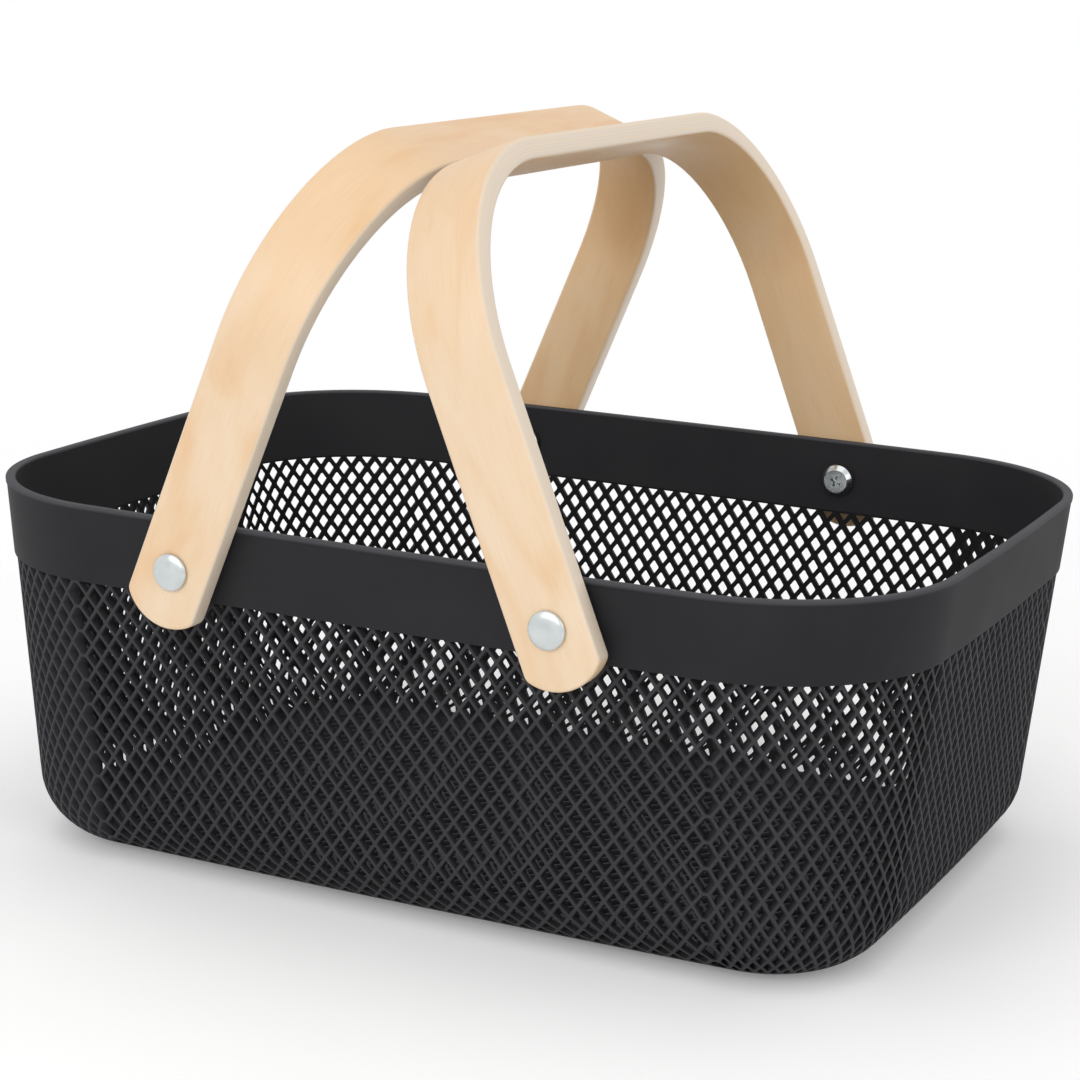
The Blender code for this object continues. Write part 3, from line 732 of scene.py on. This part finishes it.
def perforated(cells, hole, outer, inner, columns_round=None):
    """Points and faces of a sheet of cells, the open ones with a drafted hole that is eased on
    its outer edge. Also each point's share of painted highlight, full on the outer face and none down
    the holes, which is painted shade; the sides on the sheet's edge, and how many corners the cells have."""
    corners = [np.array(middles)[:, None] + np.array(polygon)[None] for polygon, middles in cells]
    places = np.concatenate([part.reshape(-1, 2) for part in corners])
    if columns_round:
        places[:, 0] = np.mod(places[:, 0], columns_round)
    _, first, number = np.unique(np.round(places * CORNER_PLACES).astype(int), axis=0, return_index=True,
                                 return_inverse=True)
    number, shared = number.ravel(), places[first]
    count = len(shared)
    points = [outer(shared[:, 0], shared[:, 1]), inner(shared[:, 0], shared[:, 1])]
    # Painted highlight on the outer face's points, none on the inner face's
    painted_highlights = [np.ones(count), np.zeros(count)]
    total, used, faces, sides = 2 * count, 0, [], []
    for (polygon, _), part in zip(cells, corners):
        cell_count, corner_count = part.shape[:2]
        top = number[used:used + cell_count * corner_count].reshape(cell_count, corner_count)
        used += cell_count * corner_count
        sides.append(np.stack([top, np.roll(top, -1, 1)], -1).reshape(-1, 2))
        rows = [row for _, row in polygon]
        if max(rows) - min(rows) < LEAST_OPEN_HEIGHT:
            faces += [top, top[:, ::-1] + count]
            continue
        rings = []
        # Each ring: inset, corner reach, seam strip, how far it is sunk, and its share of painted highlight,
        # which falls off into the hole as painted shade
        for inset, reach, strip, sunk, crest in (
            (RIB / 2 - RIB_EASE, HOLE_CORNER, SEAM_STRIP, 0.0, 1.0),
            (RIB / 2, HOLE_CORNER, SEAM_STRIP, RIB_EASE_DEPTH, 0.5),
            (INNER_RIB / 2, INNER_CORNER, INNER_SEAM_STRIP, None, 0.0),
        ):
            ring = hole(part, inset, reach, strip).reshape(-1, 2)
            made = inner(*ring.T) if sunk is None else outer(*ring.T, sunk)
            points.append(made)
            painted_highlights.append(np.full(len(made), crest))
            rings.append(np.arange(total, total + len(made)).reshape(cell_count, -1))
            total += len(made)
        for upper, lower in zip(rings, rings[1:]):
            on_upper, on_lower = np.roll(upper, -1, 1), np.roll(lower, -1, 1)
            faces.append(np.stack([upper, on_upper, on_lower, lower], -1).reshape(-1, 4))
        for ring, rim, way in ((rings[0], top, 1), (rings[-1], top + count, -1)):
            before, middle, after = ring[:, 0::3], ring[:, 1::3], ring[:, 2::3]
            on_rim, on_ring = np.roll(rim, -1, 1), np.roll(before, -1, 1)
            for face in ([rim, on_rim, on_ring, after], [rim, middle, before], [rim, after, middle]):
                faces.append(np.stack(face[::way], -1).reshape(-1, len(face)))
    sides = np.concatenate(sides)
    codes = sides[:, 0] * count + sides[:, 1]
    open_sides = sides[~np.isin(codes, sides[:, 1] * count + sides[:, 0])]
    return points, painted_highlights, faces, open_sides, count


def mesh_from(name, points, painted_highlights, faces):
    listed = [face for group in faces for face in group.tolist()]
    mesh = bpy.data.meshes.new(name)
    mesh.from_pydata(np.concatenate(points).tolist(), [], listed)
    mesh.validate()
    mark_painted_highlights(mesh, np.concatenate(painted_highlights))
    return mesh


def build_lattice():
    """Front and back halves, which meet in the middle of each end wall."""
    for name, start in (("tub_lattice_front", -HALF_ROUND / 2), ("tub_lattice_back", HALF_ROUND / 2)):
        points, painted_highlights, faces, open_sides, count = perforated(
            wall_cells(start, start + HALF_ROUND), wall_hole, outer_points, inner_points, 2 * HALF_ROUND)
        on, back = open_sides.T
        faces.append(np.stack([back, on, on + count, back + count], -1))
        mesh = mesh_from(name, points, painted_highlights, faces)
        make_piece(name, mesh, LATTICE_PLASTIC, "tub", ["basket_body"], sharp=LATTICE_SHARP)


def foot_stations(steps=8):
    """(height, inward) up the outside of the plain foot, over its top, which is tucked into
    the lattice's edge, and down the inside to the flat floor."""
    height, inset, lean = (float(v) for v in outside_at(ROW_ZERO + ROW_PITCH * LATTICE_FOOT_ROW))
    leans = [math.pi / 2 + (lean - math.pi / 2) * i / steps for i in range(steps + 1)]
    stations = [(FLOOR_FILLET * (1 - math.sin(turn)), BAND_STEP + FLOOR_FILLET * (1 - math.cos(turn)))
                for turn in leans]
    inner, tuck, radius = float(inner_inset(height)), LATTICE_WALL / 6, FLOOR_FILLET - LATTICE_WALL
    stations += [(height, inset + tuck), (height + tuck, inset + tuck),
                 (height + tuck, inner - tuck), (height, inner - tuck)]
    first = math.asin((FLOOR_FILLET - height) / radius)
    leans = [first + (math.pi / 2 - first) * i / steps for i in range(steps + 1)]
    return stations + [(FLOOR_FILLET - radius * math.sin(turn),
                        BAND_STEP + LATTICE_WALL + radius * (1 - math.cos(turn))) for turn in leans]


def build_floor():
    """The perforated flat floor, its plain border and the round foot up to the lattice."""
    reach = np.arange(-FLOOR_CELLS, FLOOR_CELLS + 1)
    first, second = np.meshgrid(reach, reach)
    middles = np.stack([(first + second) / 2, (first - second) / 2], -1).reshape(-1, 2)
    corners = (middles[:, None] + np.array(DIAMOND)) * FLOOR_SCALE
    edge_inset = BAND_STEP + FLOOR_FILLET + FLOOR_MARGIN
    fits = (outside_by(corners[..., 0], corners[..., 1], LATTICE_WALL, edge_inset) < 0).all(1)
    middles = middles[fits]
    points, painted_highlights, faces, open_sides, count = perforated(
        [(DIAMOND, middles)], floor_hole, floor_top, floor_bottom)
    rings = np.array([tub_outline(height, inward) for height, inward in foot_stations()])
    round_count = rings.shape[1]
    start = sum(len(part) for part in points)
    points.append(rings.reshape(-1, 3))
    # The round foot gets half the painted highlight
    painted_highlights.append(np.full(rings.size // 3, 0.5))
    numbers = start + np.arange(rings.size // 3).reshape(len(rings), round_count)
    on = np.roll(numbers, -1, 1)
    faces.append(np.stack([numbers[:-1], on[:-1], on[1:], numbers[1:]], -1).reshape(-1, 4))
    # The plain border between the stepped edge of the diamonds and the foot
    used = np.unique(open_sides)
    flat = np.concatenate([points[0][used, :2], rings[-1][:, :2]])
    local = {number: i for i, number in enumerate(used.tolist())}
    edges = [(local[a], local[b]) for a, b in open_sides.tolist()]
    edges += [(len(used) + i, len(used) + (i + 1) % round_count) for i in range(round_count)]
    made = delaunay_2d_cdt([Vector(point) for point in flat.tolist()], edges, [], 0, FINE_WELD)
    source = np.array([group[0] for group in made[3]])
    triangles = source[np.array([list(face) for face in made[2]])]
    a, b, c = (flat[triangles[:, i]] for i in range(3))
    spread = (b - a)[:, 0] * (c - a)[:, 1] - (b - a)[:, 1] * (c - a)[:, 0]
    triangles[spread < 0] = triangles[spread < 0][:, ::-1]
    centre = (a + b + c) / 3 / FLOOR_SCALE
    taken = {(round(x + y), round(x - y)) for x, y in middles.tolist()}
    border = triangles[[(round(x + y), round(x - y)) not in taken for x, y in centre.tolist()]]
    faces += [np.concatenate([used, numbers[-1]])[border],
              np.concatenate([used + count, numbers[0]])[border][:, ::-1]]
    mesh = mesh_from("tub_floor", points, painted_highlights, faces)
    make_piece("tub_floor", mesh, LATTICE_PLASTIC, "tub", ["basket_body"], sharp=LATTICE_SHARP)


# The handles

LEG_HEIGHT = STRAP_RISE - STRAP_BEND_RADIUS * (1 + math.sin(STRAP_LEAN))
BEND_CENTRE_Y = STRAP_INNER + STRAP_SPLAY - STRAP_BEND_RADIUS * math.cos(STRAP_LEAN)
BEND_CENTRE_Z = STRAP_RISE - STRAP_BEND_RADIUS
BEND_LENGTH = STRAP_BEND_RADIUS * (math.pi / 2 + STRAP_LEAN)
STRAP_HALF_LENGTH = LEG_HEIGHT + BEND_LENGTH + BEND_CENTRE_Y


def strap_point(along, deep):
    """(y, z) of a place on the strap: its distance up from the pivot, and into its thickness."""
    if along < LEG_HEIGHT:
        y, z, turn = STRAP_INNER + STRAP_SPLAY * along / LEG_HEIGHT, along, -STRAP_LEAN
    elif along < LEG_HEIGHT + BEND_LENGTH:
        turn = (along - LEG_HEIGHT) / STRAP_BEND_RADIUS - STRAP_LEAN
        y = BEND_CENTRE_Y + STRAP_BEND_RADIUS * math.cos(turn)
        z = BEND_CENTRE_Z + STRAP_BEND_RADIUS * math.sin(turn)
    else:
        y, z, turn = STRAP_HALF_LENGTH - along, STRAP_RISE, math.pi / 2
    return y + deep * math.cos(turn), z + deep * math.sin(turn)


def strap_place(x, y, z):
    """The other way: (from the bar's middle, across, deep) of a point of the strap."""
    reach = abs(y)
    turn = math.atan2(z - BEND_CENTRE_Z, reach - BEND_CENTRE_Y)
    if reach < BEND_CENTRE_Y and z > BEND_CENTRE_Z:
        along, deep = reach, z - STRAP_RISE
    elif turn > -STRAP_LEAN:
        along = BEND_CENTRE_Y + STRAP_BEND_RADIUS * (math.pi / 2 - turn)
        deep = math.hypot(z - BEND_CENTRE_Z, reach - BEND_CENTRE_Y) - STRAP_BEND_RADIUS
    else:
        along = STRAP_HALF_LENGTH - z
        deep = (reach - STRAP_INNER - STRAP_SPLAY * z / LEG_HEIGHT) * math.cos(STRAP_LEAN)
    return math.copysign(along, y), x, deep


def foot_outline(turn, inset):
    """(across, along) on the foot's outline, or inside it, where it faces a turn from straight down."""
    reach = STRAP_WIDTH / 2 - FOOT_CORNER
    arc_centre, span = FOOT_ARC - STRAP_BELOW_PIVOT, FOOT_ARC - FOOT_CORNER
    if math.sin(turn) * span < reach:
        radius, across, along = FOOT_ARC - inset, 0.0, arc_centre
    else:
        radius, across, along = FOOT_CORNER - inset, reach, arc_centre - math.sqrt(span ** 2 - reach ** 2)
    return across + radius * math.sin(turn), along - radius * math.cos(turn)


def strap_rings(foot_steps=24, bend_steps=40):
    """Sections of the strap from foot to foot, each with its four long edges eased."""
    radius = STRAP_WIDTH / 2
    ease = [(STRAP_EDGE * (1 - math.sin(turn)), STRAP_EDGE * (1 - math.cos(turn)))
            for turn in (math.pi / 2 * i / EASE_STEPS for i in range(EASE_STEPS + 1))]
    layers = ease + [(inset, STRAP_THICKNESS - deep) for inset, deep in reversed(ease)]
    stations = [("foot", math.pi / 2 * i / foot_steps) for i in range(foot_steps + 1)]
    stations += [("run", LEG_HEIGHT / 2)]
    stations += [("run", LEG_HEIGHT + BEND_LENGTH * i / bend_steps) for i in range(bend_steps + 1)]
    rings = []
    for kind, value in stations:
        ring = []
        for side, run in ((1, layers), (-1, layers[::-1])):
            for inset, deep in run:
                across, along = foot_outline(value, inset) if kind == "foot" else (radius - inset, value)
                y, z = strap_point(along, deep)
                ring.append((side * across, y, z))
        rings.append(ring)
    return rings + [[(x, -y, z) for x, y, z in ring] for ring in reversed(rings)]


def build_handle(side_name, x_side):
    name = f"strap_{side_name}"
    blank = skin(strap_rings(), name, weld=FINE_WELD)
    near, far = STRAP_INNER - DRILL_PAST, STRAP_OUTER + DRILL_PAST
    hole = [(0.0, near), (HOLE_DIAMETER / 2, near), (HOLE_DIAMETER / 2, far), (0.0, far)]
    drills = []
    for y_side in (-1, 1):
        drill = turned("drill", hole, 0, y_side, steps=48)
        drill.transform(Matrix.Translation((0.0, 0.0, -PIVOT_Z)))
        drills.append(("DIFFERENCE", drill))
    mesh = carved(name, blank, drills)
    places = [value for vertex in mesh.vertices for value in strap_place(*vertex.co)]
    mesh.attributes.new("strap_place", "FLOAT_VECTOR", "POINT").data.foreach_set("vector", places)
    # A deeper tone towards the bar, partly the wood's own and partly a painted warm glow of light bounced in
    # the bend
    from_foot = (STRAP_HALF_LENGTH - np.abs(places[::3])) / (STRAP_HALF_LENGTH - BEND_CENTRE_Y)
    rise = np.clip((from_foot - TONE_START) / TONE_SPREAD, 0.0, 1.0)
    tone = (BEND_TONE_AND_GLOW[side_name] * rise * rise * (3 - 2 * rise)).astype(np.float32)
    mesh.attributes.new("veneer_tone", "FLOAT", "POINT").data.foreach_set("value", tone)
    place = Matrix.Translation((x_side * PIVOT_X, 0.0, PIVOT_Z))
    mesh.transform(place @ Matrix.Rotation(-x_side * HANDLE_LEAN, 4, "Y"))
    make_piece(name, mesh, PLYWOOD, f"{side_name}_handle_body", [f"{side_name}_handle"])


# The fasteners

def build_cap_nut(site, x_side, y_side):
    head, barrel, bore = CAP_DIAMETER / 2, BARREL_DIAMETER / 2, BORE_DIAMETER / 2
    bore_end = SCREW_SEAT + SCREW_SHANK_LENGTH + GAP
    turns = [math.pi / 2 * i / DOME_STEPS for i in range(DOME_STEPS)]
    dome = [(head * math.cos(turn), CAP_SEAT + CAP_EDGE + (CAP_HEIGHT - CAP_EDGE) * math.sin(turn))
            for turn in turns]
    profile = [(0.0, bore_end), (bore, bore_end), (bore, BARREL_END), (barrel, BARREL_END),
               (barrel, CAP_SEAT), (head - METAL_EDGE, CAP_SEAT), (head, CAP_SEAT + METAL_EDGE),
               *dome, (0.0, CAP_SEAT + CAP_HEIGHT)]
    mesh = turned(f"cap_{site}", profile, x_side, y_side)
    make_piece(f"cap_{site}", mesh, ZINC, "tub", [f"{site}_cap_nut"])


def build_screw(site, x_side, y_side):
    shank, head, face = SCREW_SHANK_DIAMETER / 2, SCREW_HEAD_DIAMETER / 2, SCREW_FACE_DIAMETER / 2
    top, edge = SCREW_SEAT - SCREW_HEAD_HEIGHT, SCREW_SEAT - SCREW_HEAD_EDGE
    profile = [(0.0, top), (face - METAL_EDGE, top), (face + METAL_EDGE / 2, top + METAL_EDGE / 3),
               (head - METAL_EDGE / 2, edge - METAL_EDGE), (head, edge), (head, SCREW_SEAT),
               (shank, SCREW_SEAT), (shank, SCREW_SEAT + SCREW_SHANK_LENGTH),
               (0.0, SCREW_SEAT + SCREW_SHANK_LENGTH)]
    blank = turned(f"screw_{site}", profile, x_side, y_side)
    slots = []
    for wide, tall in ((RECESS_SPAN, RECESS_WIDTH), (RECESS_WIDTH, RECESS_SPAN)):
        shape = bmesh.new()
        bmesh.ops.create_cube(shape, size=1.0)
        bmesh.ops.scale(shape, verts=shape.verts, vec=(wide, 2 * RECESS_DEPTH, tall))
        deep_end = [vertex for vertex in shape.verts if vertex.co.y * y_side > 0]
        bmesh.ops.scale(shape, verts=deep_end, vec=(RECESS_TAPER, 1.0, RECESS_TAPER))
        bmesh.ops.transform(shape, verts=shape.verts, matrix=Matrix.Rotation(RECESS_TURN, 4, "Y"))
        bmesh.ops.translate(shape, verts=shape.verts, vec=(x_side * PIVOT_X, top * y_side, PIVOT_Z))
        slots.append(("DIFFERENCE", mesh_of(shape, "recess")))
    mesh = carved(f"screw_{site}", blank, slots)
    make_piece(f"screw_{site}", mesh, ZINC, "tub", [f"{site}_screw"])


def build_washer(site, x_side, y_side):
    hole, rim = HOLE_DIAMETER / 2, WASHER_DIAMETER / 2
    inner, outer, edge = PAD_FACE + GAP / 2, STRAP_INNER - GAP, METAL_EDGE
    profile = [(hole, inner), (rim - edge, inner), (rim, inner + edge), (rim, outer - edge),
               (rim - edge, outer), (hole, outer)]
    mesh = turned(f"washer_{site}", profile, x_side, y_side)
    make_piece(f"washer_{site}", mesh, NYLON, "tub", [f"{site}_washer"])


# The studio. First a camera fitted to the photo's outlines: its aim, its place about it, its lens
CAMERA_AIM = Vector((0.059843, -0.108798, 0.165155))
CAMERA_AZIMUTH, CAMERA_ELEVATION = math.radians(25.322), math.radians(11.742)
CAMERA_ROLL, CAMERA_DISTANCE, CAMERA_LENS = math.radians(1.636), 0.84977, 88.385
CAMERA_SHIFT_X, CAMERA_SHIFT_Y = -0.02357, -0.06898
CAMERA_REACH = 50.0


def build_floor_disc():
    shape = bmesh.new()
    bmesh.ops.create_circle(shape, cap_ends=True, segments=FLOOR_SEGMENTS, radius=FLOOR_RADIUS)
    disc = new_object("studio_floor", mesh_of(shape, "studio_floor"))
    disc.location.z = -FLOOR_DROP
    disc.data.materials.append(FLOOR_PAINT)


def softbox(name, place, width, height, power):
    """A rectangular diffused lamp that points at the tub."""
    lamp = bpy.data.lights.new(name, "AREA")
    lamp.shape, lamp.size, lamp.size_y, lamp.energy = "RECTANGLE", width, height, power
    item = new_object(name, lamp)
    item.location = place
    item.rotation_euler = (Vector(LAMP_AIM) - Vector(place)).to_track_quat("-Z", "Y").to_euler()


def build_world():
    """White for the camera and for mirror and glass rays, and a soft pale fill for the rest."""
    world = bpy.data.worlds.new("studio_white")
    bpy.context.scene.world = world
    world.use_nodes = True
    tree = world.node_tree
    sky = tree.nodes["Background"]
    sky.inputs["Color"].default_value = (1.0, 1.0, 1.0, 1.0)
    strength = add_node(tree, "ShaderNodeMapRange", {"To Min": WORLD_FILL, "To Max": 1.0},
                        {"Value": seen_directly(tree)}).outputs[0]
    tree.links.new(strength, sky.inputs["Strength"])


def build_camera():
    back = Vector((math.sin(CAMERA_AZIMUTH) * math.cos(CAMERA_ELEVATION),
                   -math.cos(CAMERA_AZIMUTH) * math.cos(CAMERA_ELEVATION), math.sin(CAMERA_ELEVATION)))
    right = Vector((0.0, 0.0, 1.0)).cross(back).normalized()
    facing = Matrix((right, back.cross(right), back)).transposed().to_4x4()
    camera = new_object("photo_camera", bpy.data.cameras.new("photo_camera"))
    camera.matrix_world = (Matrix.Translation(CAMERA_AIM + back * CAMERA_DISTANCE) @ facing
                           @ Matrix.Rotation(CAMERA_ROLL, 4, "Z"))
    camera.data.lens, camera.data.clip_end = CAMERA_LENS, CAMERA_REACH
    camera.data.shift_x, camera.data.shift_y = CAMERA_SHIFT_X, CAMERA_SHIFT_Y
    bpy.context.scene.camera = camera


def main():
    build_band()
    build_lattice()
    build_floor()
    for side_name, x_side in (("left", -1), ("right", 1)):
        build_handle(side_name, x_side)
    for site in pivot_sites():
        build_cap_nut(*site)
        build_screw(*site)
        build_washer(*site)
    build_floor_disc()
    build_world()
    for name, lamp in LAMPS.items():
        softbox(name, *lamp)
    build_camera()
    bpy.context.scene.view_settings.view_transform = "Standard"


main()
